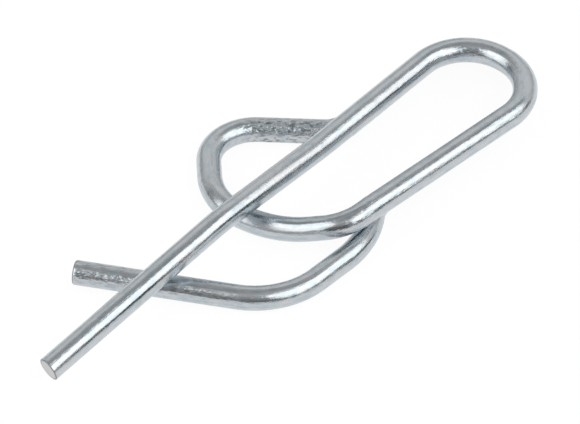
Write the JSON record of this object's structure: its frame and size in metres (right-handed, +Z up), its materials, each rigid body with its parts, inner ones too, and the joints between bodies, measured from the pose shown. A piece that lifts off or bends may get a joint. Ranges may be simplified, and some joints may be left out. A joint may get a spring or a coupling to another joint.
{
  "type": "hitch r clip pin",
  "caption": "Bent spring wire clip: a straight leg for a shaft's cross hole, a doubled end bend to pull on, and a loop and bow that snap round the shaft and hold it.",
  "frame": {"origin": "under the middle of the clip's outline, on the surface it lies on", "axes": "+X along the straight leg from its tip towards the end bend, +Y to the side of the leg that the loop stands on, +Z up, across the flat of the clip"},
  "size_m": [0.1073, 0.0388, 0.0097],
  "materials": {
    "zinc_plated_wire": "bright zinc plate on drawn spring steel wire, slightly bluish, with fine drawing lines"
  },
  "bodies": {
    "root": {"clip_wire": "zinc_plated_wire"}
  },
  "joints": []
}
